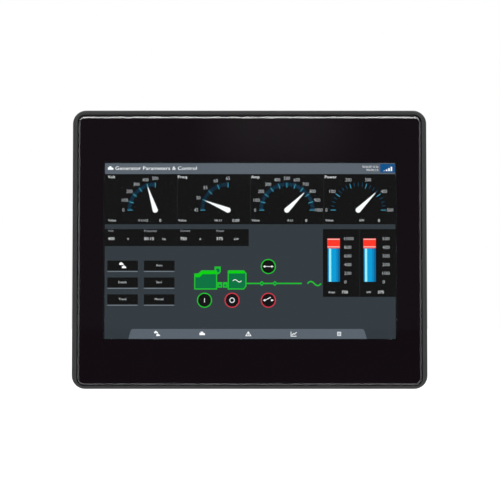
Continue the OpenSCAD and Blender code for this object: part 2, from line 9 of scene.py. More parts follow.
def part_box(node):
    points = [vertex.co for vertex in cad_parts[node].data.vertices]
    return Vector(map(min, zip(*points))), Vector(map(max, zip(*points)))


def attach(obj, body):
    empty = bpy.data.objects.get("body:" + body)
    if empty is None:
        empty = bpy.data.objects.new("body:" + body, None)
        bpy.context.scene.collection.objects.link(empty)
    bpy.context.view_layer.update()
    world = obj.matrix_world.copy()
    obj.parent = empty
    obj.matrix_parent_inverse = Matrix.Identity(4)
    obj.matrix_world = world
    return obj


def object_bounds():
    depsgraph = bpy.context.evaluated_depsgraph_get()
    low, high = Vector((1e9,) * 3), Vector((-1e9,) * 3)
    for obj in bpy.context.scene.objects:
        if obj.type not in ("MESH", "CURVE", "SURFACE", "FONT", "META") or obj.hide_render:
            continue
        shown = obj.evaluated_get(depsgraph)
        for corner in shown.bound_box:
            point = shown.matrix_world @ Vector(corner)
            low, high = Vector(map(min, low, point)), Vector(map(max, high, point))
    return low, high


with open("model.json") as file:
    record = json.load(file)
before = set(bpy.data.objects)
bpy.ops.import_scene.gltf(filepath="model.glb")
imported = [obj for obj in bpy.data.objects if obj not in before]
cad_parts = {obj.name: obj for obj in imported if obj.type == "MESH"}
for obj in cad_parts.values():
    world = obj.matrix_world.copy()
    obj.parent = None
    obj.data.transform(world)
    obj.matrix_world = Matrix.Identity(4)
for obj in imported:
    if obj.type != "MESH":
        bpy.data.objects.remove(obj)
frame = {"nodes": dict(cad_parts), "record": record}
cad_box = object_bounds()

MM = 0.001
nodes = frame["nodes"]

# ---- Places worked out from the frame --------------------------------------------------------------

cell_low, cell_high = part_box("lcd_panel")
FRONT_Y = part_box("front_bezel")[0].y
CELL_Y = cell_low.y
# The lit picture, in millimetres. It sits a little below the middle of the display cell.
PICTURE_W = 153.6
PICTURE_H = 92.95
PICTURE_SINK = 0.18
PICTURE_X = (cell_low.x + cell_high.x) / 2
PICTURE_Z = (cell_low.z + cell_high.z) / 2 - PICTURE_SINK * MM

# ---- Shader building -------------------------------------------------------------------------------


def add(tree, kind, values=None, **settings):
    """A shader node with its settings, and the values of its inputs by name or number."""
    made = tree.nodes.new(kind)
    for key, value in settings.items():
        setattr(made, key, value)
    for key, value in (values or {}).items():
        made.inputs[key].default_value = value
    return made


def new_material(name):
    """An empty material with a Principled shader wired to its output."""
    material = bpy.data.materials.new(name)
    material.use_nodes = True
    tree = material.node_tree
    tree.nodes.clear()
    shader = add(tree, "ShaderNodeBsdfPrincipled")
    output = add(tree, "ShaderNodeOutputMaterial")
    tree.links.new(shader.outputs[0], output.inputs[0])
    return material, tree, shader


def own_space(tree, stretch=(1, 1, 1)):
    """The object's own coordinates in metres, stretched for a grain that runs one way."""
    place = add(tree, "ShaderNodeTexCoord")
    scaled = add(tree, "ShaderNodeMapping", {"Scale": stretch})
    tree.links.new(place.outputs["Object"], scaled.inputs[0])
    return scaled.outputs[0]


def noise(tree, space, size, detail=3.0):
    """Noise whose features are about size metres across."""
    made = add(tree, "ShaderNodeTexNoise", {"Scale": 1 / size, "Detail": detail})
    tree.links.new(space, made.inputs["Vector"])
    return made.outputs[0]


def spread(tree, value, low, high):
    """Maps noise to a range between low and high."""
    made = add(tree, "ShaderNodeMapRange", {1: 0.3, 2: 0.7, 3: low, 4: high})
    tree.links.new(value, made.inputs[0])
    return made.outputs[0]


def ramp(tree, value, start, end, first, last):
    """Runs smoothly from first to last as value goes from start to end."""
    made = add(tree, "ShaderNodeMapRange", {1: start, 2: end, 3: first, 4: last},
               interpolation_type="SMOOTHSTEP")
    tree.links.new(value, made.inputs[0])
    return made.outputs[0]


def join(tree, ends, share, first, second):
    """Wires a mix node's share and its two ends, each a plain value or another node's output."""
    for socket, value in zip(ends, (share, first, second)):
        if isinstance(value, bpy.types.NodeSocket):
            tree.links.new(value, socket)
        else:
            socket.default_value = value


def mix(tree, share, first, second):
    """A colour between two."""
    made = add(tree, "ShaderNodeMix", data_type="RGBA")
    join(tree, (made.inputs[0], made.inputs[6], made.inputs[7]), share, first, second)
    return made.outputs[2]


def blend(tree, share, first, second):
    """A number between two."""
    made = add(tree, "ShaderNodeMix", data_type="FLOAT")
    join(tree, (made.inputs[0], made.inputs[2], made.inputs[3]), share, first, second)
    return made.outputs[0]


def shade(color, by):
    """A colour made lighter or darker."""
    return (*(min(c * by, 1.0) for c in color[:3]), 1.0)


def relief(tree, shader, height, depth, edge=0.0):
    """Bumps of the given depth in metres, on top of softened edges."""
    bump = add(tree, "ShaderNodeBump", {"Strength": 1.0, "Distance": depth})
    tree.links.new(height, bump.inputs["Height"])
    if edge:
        soft = add(tree, "ShaderNodeBevel", {"Radius": edge}, samples=4)
        tree.links.new(soft.outputs[0], bump.inputs["Normal"])
    tree.links.new(bump.outputs[0], shader.inputs["Normal"])


def surface(name, color, roughness, grain, depth, metallic=0.0, stretch=(1, 1, 1), vary=0.12,
            patch=0.012, gloss=0.06, edge=0.2, shine=0.5):
    """A solid finish. grain, depth and edge are in millimetres and patch in metres. vary is the spread of
    the colour, gloss that of the roughness, and shine how strongly it mirrors."""
    material, tree, shader = new_material(name)
    space = own_space(tree, stretch)
    cloud = noise(tree, own_space(tree), patch)
    fine = noise(tree, space, grain * MM, 4.0)
    color_link = mix(tree, cloud, shade(color, 1 - vary), shade(color, 1 + vary))
    speck = mix(tree, spread(tree, fine, 0.0, 0.35), color_link, shade(color, 1 - 2 * vary))
    tree.links.new(speck, shader.inputs["Base Color"])
    rough = spread(tree, noise(tree, space, grain * MM * 2.7), roughness - gloss, roughness + gloss)
    tree.links.new(rough, shader.inputs["Roughness"])
    shader.inputs["Metallic"].default_value = metallic
    shader.inputs["Specular IOR Level"].default_value = shine
    relief(tree, shader, fine, depth * MM, edge * MM)
    return material


def clear(name, color, ior, roughness, grain, depth):
    """A see-through sheet with a faint texture."""
    material, tree, shader = new_material(name)
    fine = noise(tree, own_space(tree), grain * MM)
    shader.inputs["Base Color"].default_value = (*color, 1.0)
    shader.inputs["Transmission Weight"].default_value = 1.0
    shader.inputs["IOR"].default_value = ior
    rough = spread(tree, fine, roughness * 0.7, roughness * 1.3)
    tree.links.new(rough, shader.inputs["Roughness"])
    if depth:
        relief(tree, shader, fine, depth * MM)
    return material


def circuit_board(name):
    """Green solder resist over copper tracks, with scattered round pads."""
    material, tree, shader = new_material(name)
    space = own_space(tree)
    resist, track, pad = (0.006, 0.07, 0.028, 1), (0.02, 0.15, 0.06, 1), (0.62, 0.6, 0.52, 1)
    lanes = add(tree, "ShaderNodeTexVoronoi", {"Scale": 260.0, "Randomness": 0.9}, distance="MANHATTAN")
    tree.links.new(space, lanes.inputs["Vector"])
    edges = add(tree, "ShaderNodeMath", {1: 9.0}, operation="MULTIPLY")
    tree.links.new(lanes.outputs["Distance"], edges.inputs[0])
    stripes = add(tree, "ShaderNodeMath", operation="PINGPONG")
    tree.links.new(edges.outputs[0], stripes.inputs[0])
    stripes.inputs[1].default_value = 0.5
    tracks = add(tree, "ShaderNodeMath", {1: 0.3}, operation="GREATER_THAN")
    tree.links.new(stripes.outputs[0], tracks.inputs[0])
    dots = add(tree, "ShaderNodeTexVoronoi", {"Scale": 420.0, "Randomness": 1.0})
    tree.links.new(space, dots.inputs["Vector"])
    pads = add(tree, "ShaderNodeMath", {1: 0.16}, operation="LESS_THAN")
    tree.links.new(dots.outputs["Distance"], pads.inputs[0])
    color = mix(tree, pads.outputs[0], mix(tree, tracks.outputs[0], resist, track), pad)
    tree.links.new(color, shader.inputs["Base Color"])
    shader.inputs["Roughness"].default_value = 0.32
    relief(tree, shader, tracks.outputs[0], 0.03 * MM, 0.15 * MM)
    return material


def flex_circuit(name):
    """Amber film with copper tracks that run along it."""
    material, tree, shader = new_material(name)
    waves = add(tree, "ShaderNodeTexWave", {"Scale": 320.0, "Distortion": 0.0}, bands_direction="X")
    tree.links.new(own_space(tree), waves.inputs["Vector"])
    copper = spread(tree, waves.outputs["Fac"], 0.0, 1.0)
    color = mix(tree, copper, (0.42, 0.16, 0.02, 1), (0.6, 0.32, 0.08, 1))
    tree.links.new(color, shader.inputs["Base Color"])
    tree.links.new(spread(tree, waves.outputs["Fac"], 0.3, 0.42), shader.inputs["Roughness"])
    relief(tree, shader, copper, 0.02 * MM)
    return material


def zinc_plate(name):
    """Galvanised sheet steel with its crystal flakes."""
    material, tree, shader = new_material(name)
    space = own_space(tree)
    flakes = add(tree, "ShaderNodeTexVoronoi", {"Scale": 240.0})
    tree.links.new(space, flakes.inputs["Vector"])
    grey = add(tree, "ShaderNodeRGBToBW")
    tree.links.new(flakes.outputs["Color"], grey.inputs[0])
    color = mix(tree, grey.outputs[0], (0.4, 0.41, 0.43, 1), (0.6, 0.61, 0.62, 1))
    tree.links.new(color, shader.inputs["Base Color"])
    tree.links.new(spread(tree, grey.outputs[0], 0.3, 0.46), shader.inputs["Roughness"])
    shader.inputs["Metallic"].default_value = 1.0
    relief(tree, shader, noise(tree, space, 0.4 * MM, 5.0), 0.01 * MM, 0.15 * MM)
    return material


# ---- Finishes of the frame's parts -----------------------------------------------------------------

ALONG_X, ALONG_Z = (0.06, 1, 1), (1, 1, 0.06)
finishes = {
    "frame_paint": surface("frame_paint", (0.0155, 0.0162, 0.017), 0.5, 0.22, 0.012, vary=0.06, edge=0.25,
                           shine=0.3),
    "cover_glass": clear("cover_glass", (0.97, 0.98, 0.98), 1.5, 0.02, 12.0, 0.0),
    "black_print": surface("black_print", (0.0045, 0.0024, 0.004), 0.5, 0.3, 0.0, edge=0.0, shine=0.1),
    "black_foam": surface("black_foam", (0.02, 0.02, 0.021), 0.92, 0.5, 0.09, vary=0.3, edge=0.1),
    "sensor_film": clear("sensor_film", (0.98, 0.99, 0.99), 1.04, 0.02, 3.0, 0.0),
    "flex_circuit": flex_circuit("flex_circuit"),
    "gasket_rubber": surface("gasket_rubber", (0.018, 0.018, 0.019), 0.78, 0.3, 0.03, vary=0.2),
    "bright_steel": surface("bright_steel", (0.58, 0.59, 0.6), 0.3, 0.25, 0.006, 1.0, ALONG_X),
    "display_cell": surface("display_cell", (0.012, 0.013, 0.016), 0.2, 0.19, 0.002, gloss=0.04),
    "white_film": surface("white_film", (0.82, 0.82, 0.81), 0.7, 0.5, 0.01, vary=0.03),
    "clear_acrylic": clear("clear_acrylic", (0.95, 0.98, 0.99), 1.49, 0.05, 1.2, 0.02),
    "led_white": surface("led_white", (0.85, 0.78, 0.42), 0.4, 0.5, 0.02, vary=0.08),
    "white_plastic": surface("white_plastic", (0.8, 0.8, 0.78), 0.45, 0.4, 0.01, vary=0.04),
    "zinc_steel": zinc_plate("zinc_steel"),
    "screw_steel": surface("screw_steel", (0.56, 0.55, 0.53), 0.3, 0.15, 0.008, 1.0, edge=0.15),
    "housing_paint": surface("housing_paint", (0.03, 0.03, 0.032), 0.52, 0.45, 0.035, vary=0.1, edge=0.35),
    "label_foil": surface("label_foil", (0.4, 0.41, 0.42), 0.5, 0.2, 0.005, 0.4, ALONG_X, edge=0.0,
                          shine=0.3),
    "earth_brass": surface("earth_brass", (0.66, 0.5, 0.22), 0.3, 0.2, 0.008, 1.0, edge=0.15),
    "circuit_board": circuit_board("circuit_board"),
    "chip_plastic": surface("chip_plastic", (0.018, 0.018, 0.02), 0.58, 0.12, 0.006, vary=0.1, edge=0.1),
    "thermal_rubber": surface("thermal_rubber", (0.3, 0.36, 0.5), 0.85, 0.4, 0.03, vary=0.08),
    "bare_aluminium": surface("bare_aluminium", (0.62, 0.63, 0.65), 0.34, 0.3, 0.01, 1.0, ALONG_Z),
    "dark_ferrite": surface("dark_ferrite", (0.045, 0.045, 0.048), 0.62, 0.25, 0.03, vary=0.2),
    "capacitor_can": surface("capacitor_can", (0.5, 0.51, 0.54), 0.26, 0.3, 0.006, 1.0),
    "black_plastic": surface("black_plastic", (0.02, 0.02, 0.021), 0.46, 0.2, 0.012, vary=0.1),
    "cell_steel": surface("cell_steel", (0.6, 0.6, 0.6), 0.22, 0.3, 0.004, 1.0),
    "ivory_plastic": surface("ivory_plastic", (0.68, 0.63, 0.48), 0.5, 0.3, 0.012, vary=0.05),
    "port_steel": surface("port_steel", (0.58, 0.58, 0.57), 0.2, 0.3, 0.004, 1.0, edge=0.15),
    "contact_gold": surface("contact_gold", (0.8, 0.58, 0.2), 0.2, 0.1, 0.003, 1.0, edge=0.05),
    "green_plastic": surface("green_plastic", (0.018, 0.15, 0.05), 0.42, 0.25, 0.012, vary=0.1),
    "card_plastic": surface("card_plastic", (0.02, 0.03, 0.09), 0.4, 0.18, 0.008, vary=0.1),
}
# The print behind the glass is a purplish black, and its faint purplish glow is painted light: it stands in
# for the lit room's light on it, so the print is never quite dark
print_painted_glow_shader = finishes["black_print"].node_tree.nodes["Principled BSDF"]
print_painted_glow_shader.inputs["Emission Color"].default_value = (0.0054, 0.0029, 0.0048, 1)
print_painted_glow_shader.inputs["Emission Strength"].default_value = 1.0
for part in frame["record"]["subparts"]:
    mesh = nodes[part["node"]].data
    mesh.materials.clear()
    mesh.materials.append(finishes[part["material_slot"]])

# ---- Mesh building ---------------------------------------------------------------------------------


def prism(mesh, outline, near, far, place):
    """A closed prism. place turns an outline point and a depth into a vertex."""
    front = [mesh.verts.new(place(p, near)) for p in outline]
    back = [mesh.verts.new(place(p, far)) for p in outline]
    mesh.faces.new(front)
    mesh.faces.new(back[::-1])
    for k in range(len(outline)):
        n = (k + 1) % len(outline)
        mesh.faces.new((front[n], front[k], back[k], back[n]))


def ribbon(mesh, left, right, near, far, place, closed=False):
    """A closed band between two rows of points."""
    rows = [[mesh.verts.new(place(p, depth)) for p in side]
            for depth in (near, far) for side in (left, right)]
    count = len(left)
    for k in range(count if closed else count - 1):
        n = (k + 1) % count
        for a, b in ((0, 1), (1, 3), (3, 2), (2, 0)):
            mesh.faces.new((rows[a][k], rows[a][n], rows[b][n], rows[b][k]))
    if not closed:
        for k in (0, count - 1):
            mesh.faces.new((rows[0][k], rows[1][k], rows[3][k], rows[2][k]))


def make_piece(name, mesh, material, body="panel"):
    """Turns built geometry into a piece that rides on a body."""
    bmesh.ops.recalc_face_normals(mesh, faces=mesh.faces)
    data = bpy.data.meshes.new(name)
    mesh.to_mesh(data)
    mesh.free()
    data.materials.append(material)
    piece = bpy.data.objects.new(name, data)
    bpy.context.scene.collection.objects.link(piece)
    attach(piece, body)
    return piece


# How high a capital stands in the built-in font, as a share of the font size
CAP_SHARE = 0.69


def letters(text, cap, bold, width, align, thickness):
    """Flat lettering with capitals cap high, as a mesh in the XY plane that is aligned to the origin."""
    curve = bpy.data.curves.new("letters", "FONT")
    curve.body = text
    curve.size = cap / CAP_SHARE
    curve.extrude = thickness / 2
    curve.offset = bold * cap
    curve.resolution_u = 2
    carrier = bpy.data.objects.new("letters", curve)
    bpy.context.scene.collection.objects.link(carrier)
    bpy.context.view_layer.update()
    data = bpy.data.meshes.new_from_object(carrier.evaluated_get(bpy.context.evaluated_depsgraph_get()))
    bpy.data.objects.remove(carrier)
    bpy.data.curves.remove(curve)
    low = min(v.co.x for v in data.vertices)
    high = max(v.co.x for v in data.vertices)
    squeeze = width / (high - low) if width else 1.0
    start = {"LEFT": low, "CENTER": (low + high) / 2, "RIGHT": high}[align]
    data.transform(Matrix.Scale(squeeze, 4, (1, 0, 0)) @ Matrix.Translation((-start, 0, 0)))
    return data


# ---- The lit picture -------------------------------------------------------------------------------
# Thin closed tiles in front of the display cell, in layers. u runs right and v down from the picture's top
# left corner, in millimetres.

LAYER = 0.02
# What the glass mirrors on top of the picture, and the share of the picture's light that it lets through
MIRRORED = 0.006
GLASS_PASSES = 0.88
LIT_COLORS = {
    "slate": (54, 61, 66), "title_bar": (93, 101, 110), "panel_black": (24, 24, 24),
    "divider": (38, 41, 44), "white": (252, 253, 255), "pale_text": (222, 225, 228),
    "dim_text": (172, 176, 180), "tick": (11, 98, 138), "tick_bright": (86, 200, 236),
    "green_bright": (4, 208, 6), "green_line": (34, 190, 50), "green_fill": (3, 116, 66),
    "red_ring": (206, 58, 74), "bar_red": (254, 58, 44), "bar_pink": (255, 172, 168),
    "bar_blue": (2, 156, 214), "bar_light": (160, 242, 255), "bar_shade": (4, 134, 192),
    "bar_edge": (4, 104, 156), "mark_blue": (22, 82, 134), "underline": (124, 132, 140),
}
picture = {name: bmesh.new() for name in LIT_COLORS}


def spot(point, depth):
    """A place on the picture, depth layers in front of the display cell."""
    u, v = point
    x = PICTURE_X + (u - PICTURE_W / 2) * MM
    z = PICTURE_Z - (v - PICTURE_H / 2) * MM
    return (x, CELL_Y - depth * LAYER * MM, z)


def area(color, level, *outline):
    """A tile inside an outline, level layers in front of the display cell."""
    prism(picture[color], outline, level + 1, level, spot)


def bar(color, level, u0, v0, u1, v1):
    area(color, level, (u0, v0), (u1, v0), (u1, v1), (u0, v1))


def arc(u, v, r, start=0.0, end=360.0, count=32):
    """Points round a centre. 0 is to the right and 90 straight up."""
    turns = [math.radians(start + (end - start) * k / count) for k in range(count + 1)]
    return [(u + r * math.cos(t), v - r * math.sin(t)) for t in turns]


def disc(color, level, u, v, r, count=28):
    area(color, level, *arc(u, v, r, count=count)[:-1])


def ring(color, level, u, v, r, width):
    outer, inner = arc(u, v, r, count=40)[:-1], arc(u, v, r - width, count=40)[:-1]
    ribbon(picture[color], outer, inner, level + 1, level, spot, closed=True)


def stroke(color, level, points, width, closed=False):
    """A line of even width along points."""
    count = len(points)
    left, right = [], []
    for k, here in enumerate(points):
        before = points[k - 1] if closed or k else here
        after = points[(k + 1) % count] if closed or k < count - 1 else here
        legs = [Vector(b) - Vector(a) for a, b in ((before, here), (here, after)) if a != b]
        along = sum((leg.normalized() for leg in legs), Vector((0, 0))).normalized()
        side = Vector((along.y, -along.x))
        reach = width / 2 / max(side.dot(Vector((legs[0].y, -legs[0].x)).normalized()), 0.4)
        left.append(tuple(Vector(here) + side * reach))
        right.append(tuple(Vector(here) - side * reach))
    ribbon(picture[color], left, right, level + 1, level, spot, closed)


def words(color, level, text, u, v, cap, bold=0.0, width=None, align="LEFT"):
    """Lettering whose baseline starts at u, v."""
    data = letters(text, cap * MM, bold, width * MM if width else None, align, LAYER * MM)
    turn = Matrix.Rotation(math.radians(90), 4, "X")
    data.transform(Matrix.Translation(spot((u, v), level + 0.5)) @ turn)
    picture[color].from_mesh(data)
    bpy.data.meshes.remove(data)


def wave(color, level, u0, u1, v, height, width):
    """One period of a sine."""
    steps = 16
    points = [(u0 + (u1 - u0) * k / steps, v - height * math.sin(2 * math.pi * k / steps))
              for k in range(steps + 1)]
    stroke(color, level, points, width)


def number(text, u, v, cap, pitch, align="LEFT"):
    """A scale's number, with digits pitch wide."""
    words("pale_text", 2, text, u, v, cap, bold=-0.025, width=pitch * len(text) - 0.15, align=align)


def diamond(color, level, u, v, r):
    area(color, level, (u - r, v), (u, v - r), (u + r, v), (u, v + r))


GAUGE_V = 24.87
TICK_IN = 12.0
TICK_OUT = 14.6
LABEL_R = 16.85
MINOR_SHORTER = 0.7
NEEDLE = 12.85
HUB = 1.4


def gauge(u, heading, heading_u, width, sweep, labels, reading, minor, footer, footer_u, note, note_u):
    """A dial: its ticks and labels run clockwise from the left over sweep degrees, with minor ticks between
    each two labels. Its heading is width wide."""
    span = labels[-1] - labels[0]
    step = sweep / (len(labels) - 1)
    centre = Vector((u, GAUGE_V))
    for k in range((len(labels) - 1) * (minor + 1) + 1):
        major = k % (minor + 1) == 0
        turn = math.radians(180 - step * k / (minor + 1))
        out = Vector((math.cos(turn), -math.sin(turn)))
        inner = TICK_IN if major else TICK_IN + MINOR_SHORTER
        line = [tuple(centre + out * inner), tuple(centre + out * TICK_OUT)]
        stroke("tick_bright" if major else "tick", 2, line, 0.22 if major else 0.17)
    for k, label in enumerate(labels):
        turn = math.radians(180 - step * k)
        at = (u + LABEL_R * math.cos(turn), GAUGE_V - LABEL_R * math.sin(turn) + 0.85)
        number(f"{label:g}", *at, 1.8, 1.0 if label > 999 else 1.1, "CENTER")
    heading_turn = 180 - sweep * (reading - labels[0]) / span
    turn = math.radians(heading_turn)
    out = Vector((math.cos(turn), -math.sin(turn)))
    side = Vector((-out.y, out.x))
    hub = arc(u, GAUGE_V, HUB, heading_turn + 96, heading_turn + 264, 14)
    tip = [tuple(centre + out * NEEDLE + side * s) for s in (0.14, -0.14)]
    area("white", 4, *hub, *tip)
    words("white", 2, heading, heading_u, 8.0, 1.5, width=width)
    words("pale_text", 2, "Value", heading_u + 0.2, 30.85, 1.15, width=4.2)
    words("pale_text", 2, footer, footer_u, 30.85, 1.15, align="CENTER")
    words("pale_text", 2, note, note_u, 31.1, 1.5, align="CENTER")


def button(u, v, label):
    """A soft key with its light underline."""
    bar("panel_black", 1, u, v, u + 16.15, v + 5.3)
    bar("underline", 1, u, v + 5.55, u + 16.0, v + 5.95)
    if label:
        words("pale_text", 2, label, u + 8.0, v + 3.05, 1.12, bold=-0.01, align="CENTER")


def lamp(color, u, v):
    """A round command button with a coloured rim."""
    disc("panel_black", 1, u, v, 3.5)
    ring(color, 1, u, v, 3.98, 0.6)


def level_bar(u, label_u, highest, unit, unit_u, reading):
    """A bar scale with a red zone over a blue column, lit from its left."""
    columns = [("bar_edge", 0.0, 0.45), ("bar_blue", 0.45, 0.75), ("bar_light", 0.75, 1.9),
               ("bar_blue", 1.9, 4.5), ("bar_shade", 4.5, 5.5), ("bar_edge", 5.5, 6.5)]
    for color, a, b in columns:
        bar(color, 2, u + a, 45.2, u + b, 62.8)
    bar("bar_red", 2, u - 0.1, 39.9, u + 6.55, 45.1)
    for v in (40.05, 44.05):
        bar("bar_pink", 3, u, v, u + 6.45, v + 0.6)
    for k in range(6):
        number(f"{highest - k * highest // 5}", label_u, 40.85 + 4.57 * k, 1.68, 1.27)
    words("pale_text", 2, unit, unit_u, 68.8, 1.05)
    words("white", 2, reading, u + 9.1, 69.0, 1.45, width=3.2, align="CENTER")


def engine(u, v, size):
    """A small picture of an engine, size wide."""
    s = size / 10
    area("white", 2, (u, v + 2 * s), (u + 2.4 * s, v + 2 * s), (u + 2.4 * s, v), (u + 6.4 * s, v),
         (u + 6.4 * s, v + 2 * s), (u + 8 * s, v + 2 * s), (u + 10 * s, v + 3.6 * s),
         (u + 10 * s, v + 6.4 * s), (u, v + 6.4 * s))


def draw_header():
    bar("title_bar", 1, 0, 0, PICTURE_W, 5.75)
    engine(1.45, 1.6, 2.95)
    words("white", 2, "Generator Parameters & Control", 5.4, 3.55, 1.85, bold=0.005, width=43.2)
    for text, v, width in (("00/00/00 10:24", 2.45, 8.4), ("00:00:15", 4.1, 6.3)):
        words("pale_text", 2, text, 144.7, v, 1.1, width=width, align="RIGHT")
    bar("mark_blue", 2, 145.75, 0.4, 153.5, 5.0)
    for k in range(4):
        bar("white", 3, 147.5 + 1.25 * k, 4.0 - 0.7 * k, 148.3 + 1.25 * k, 4.2)


def draw_gauges():
    bar("panel_black", 1, 0, 5.75, PICTURE_W, 32.4)
    for u in (38.3, 77.0, 115.8):
        bar("divider", 2, u - 0.15, 5.75, u + 0.15, 32.4)
    gauge(26.6, "Volt", 1.5, 3.8, 90, [0, 100, 200, 300, 400, 500], 400, 4, "V L1-L2", 20.2, "0", 29.3)
    gauge(65.1, "Freq", 38.6, 4.75, 90, [45, 50, 55, 60, 65], 50, 4, "Hz L1", 59.9, "0.00", 69.3)
    gauge(96.3, "Amp", 77.4, 4.4, 180, list(range(0, 1001, 100)), 750, 4, "A L1", 97.9, "0", 106.5)
    gauge(134.05, "Power", 116.4, 6.2, 180, [0, 100, 200, 300, 400, 500], 375, 3, "kW", 136.0, "0", 145.0)


def draw_values():
    bar("panel_black", 1, 0, 34.95, 76.1, 43.95)
    columns = [("Volt", "400", 3.3, "V"), ("Frequency", "50.15", 5.1, "Hz"), ("Current", "750", 3.3, "A"),
               ("Power", "375", 3.3, "kW")]
    for k, (name, value, width, unit) in enumerate(columns):
        u = 1.75 + 19.1 * k
        words("dim_text", 2, name, u, 36.4, 1.1)
        words("white", 2, value, u, 40.75, 1.5, width=width)
        words("pale_text", 2, unit, u + 10.5, 40.75, 1.1, align="CENTER")


def draw_buttons():
    labels = [["", "Auto"], ["Details", "Semi"], ["Trend", "Manual"]]
    for row, pair in enumerate(labels):
        for column, label in enumerate(pair):
            button(1.4 + 19.35 * column, 51.6 + 8.92 * row, label)
    for u, v in ((7.7, 52.5), (9.1, 54.2)):
        engine(u, v, 2.25)


def draw_plant():
    body = [(47.6, 58.7), (49.5, 58.7), (51.3, 57.05), (59.1, 57.05), (59.1, 66.6), (47.6, 66.6)]
    block = [(65.3, 57.05), (73.4, 57.05), (74.6, 58.4), (74.6, 65.1), (73.4, 66.6), (65.3, 66.6)]
    caps = [[(47.6, 58.7), (49.5, 58.7), (51.3, 57.05), (59.1, 57.05), (59.1, 58.8), (51.9, 58.8),
             (50.1, 60.4), (47.6, 60.4)], [(65.3, 57.05), (73.4, 57.05), (74.6, 58.4), (65.3, 58.4)]]
    for outline in (body, block):
        area("green_fill", 1, *outline)
        stroke("green_line", 3, outline, 0.62, closed=True)
    for cap in caps:
        area("green_bright", 2, *cap)
    bar("green_line", 1, 58.0, 54.75, 61.3, 57.4)
    area("green_line", 1, (59.1, 57.4), (61.3, 57.4), (60.7, 58.5), (59.1, 59.1))
    disc("green_fill", 2, 59.7, 56.8, 1.05)
    for u in (59.5, 62.4):
        bar("green_line", 1, u, 63.0, u + 2.5, 65.9)
        bar("green_fill", 2, u + 0.8, 64.3, u + 1.8, 65.2)
    wave("white", 4, 67.7, 72.3, 62.3, 0.6, 0.36)
    bar("green_line", 1, 74.6, 63.35, 104.1, 64.05)
    for u in (83.0, 89.9):
        diamond("green_line", 2, u, 63.7, 1.35)
        disc("green_fill", 3, u, 63.7, 0.5, 12)
    wave("green_line", 1, 107.1, 114.3, 63.75, 1.1, 0.7)


def draw_lamps():
    lamp("green_line", 52.75, 72.55)
    bar("white", 2, 52.6, 71.45, 52.9, 73.65)
    lamp("red_ring", 67.3, 72.55)
    ring("pale_text", 2, 67.3, 72.55, 1.45, 0.5)
    for color, v in (("green_line", 54.75), ("red_ring", 72.55)):
        lamp(color, 86.45, v)
        for side in (-1, 1):
            diamond("white", 3, 86.45 + 1.9 * side, v, 0.62)
    bar("white", 2, 83.75, 54.6, 89.15, 54.9)
    stroke("white", 2, [(83.75, 72.55), (84.65, 72.55), (87.75, 71.0)], 0.4)
    bar("white", 2, 88.15, 72.37, 89.15, 72.73)


def draw_bars():
    bar("panel_black", 1, 115.3, 34.95, PICTURE_W, 70.8)
    bar("divider", 2, 134.5, 34.95, 134.8, 70.8)
    level_bar(117.75, 126.6, 1000, "Amps", 118.1, "750")
    level_bar(136.75, 146.8, 500, "kW", 138.4, "375")


def draw_tabs():
    tab = [(12.65, PICTURE_H), (13.8, 88.75), (14.2, 88.0), (15.0, 87.7), (135.7, 87.7), (136.6, 88.0),
           (137.1, 88.75), (138.4, PICTURE_H)]
    area("title_bar", 1, *tab)
    for u, v in ((26.2, 88.7), (27.3, 90.15)):
        engine(u, v, 2.0)
    engine(50.1, 89.1, 2.9)
    stroke("white", 2, [(75.85, 89.2), (77.2, 91.3), (74.5, 91.3)], 0.36, closed=True)
    bar("white", 3, 75.67, 89.8, 76.03, 91.0)
    stroke("white", 2, [(98.4, 89.1), (98.4, 91.5), (101.3, 91.5)], 0.34)
    stroke("white", 2, [(98.9, 90.9), (99.7, 90.1), (100.3, 90.5), (101.3, 89.4)], 0.36)
    bar("pale_text", 2, 122.7, 89.2, 124.8, 91.4)
    for k in range(2):
        bar("title_bar", 3, 123.1, 89.85 + 0.75 * k, 124.4, 90.15 + 0.75 * k)


def linear(channel):
    """One sRGB channel, 0 to 255, as linear light."""
    share = channel / 255
    return share / 12.92 if share <= 0.04045 else ((share + 0.055) / 1.055) ** 2.4


def lit(name, rgb):
    """A display colour as it shows through the glass, on a face with the display's fine grid."""
    material, tree, shader = new_material("lit_" + name)
    light = [max(linear(c) - MIRRORED, 0.0) / GLASS_PASSES for c in rgb]
    shader.inputs["Emission Color"].default_value = (*light, 1.0)
    shader.inputs["Emission Strength"].default_value = 1.0
    shader.inputs["Base Color"].default_value = (0.0, 0.0, 0.0, 1.0)
    shader.inputs["Specular IOR Level"].default_value = 0.0
    grid = add(tree, "ShaderNodeTexBrick", {"Scale": 1.0, "Brick Width": 0.19 * MM, "Row Height": 0.19 * MM,
                                            "Mortar Size": 0.02 * MM}, offset=0.0)
    turned = add(tree, "ShaderNodeMapping", {"Rotation": (math.radians(90), 0, 0)})
    tree.links.new(own_space(tree), turned.inputs[0])
    tree.links.new(turned.outputs[0], grid.inputs["Vector"])
    tree.links.new(spread(tree, grid.outputs["Fac"], 0.3, 0.5), shader.inputs["Roughness"])
    return material


bar("slate", 0, 0, 0, PICTURE_W, PICTURE_H)
for draw in (draw_header, draw_gauges, draw_values, draw_buttons, draw_plant, draw_lamps, draw_bars,
             draw_tabs):
    draw()
for color_name, rgb in LIT_COLORS.items():
    make_piece("picture_" + color_name, picture[color_name], lit(color_name, rgb))

# ---- Rear details ----------------------------------------------------------------------------------


def straight(point, depth):
    """A place from an outline point in the YZ plane and a depth along X, all in millimetres."""
    return (depth * MM, point[0] * MM, point[1] * MM)


def rounded_block(mesh, low, high, radius):
    """A box with all its edges rounded, in millimetres."""
    made = bmesh.ops.create_cube(mesh, size=1.0)["verts"]
    for vert in made:
        vert.co = Vector([(low[k] + high[k]) / 2 + vert.co[k] * (high[k] - low[k]) for k in range(3)]) * MM
    edges = list({edge for vert in made for edge in vert.link_edges})
    bmesh.ops.bevel(mesh, geom=edges, offset=radius * MM, segments=3, affect="EDGES", profile=0.5)


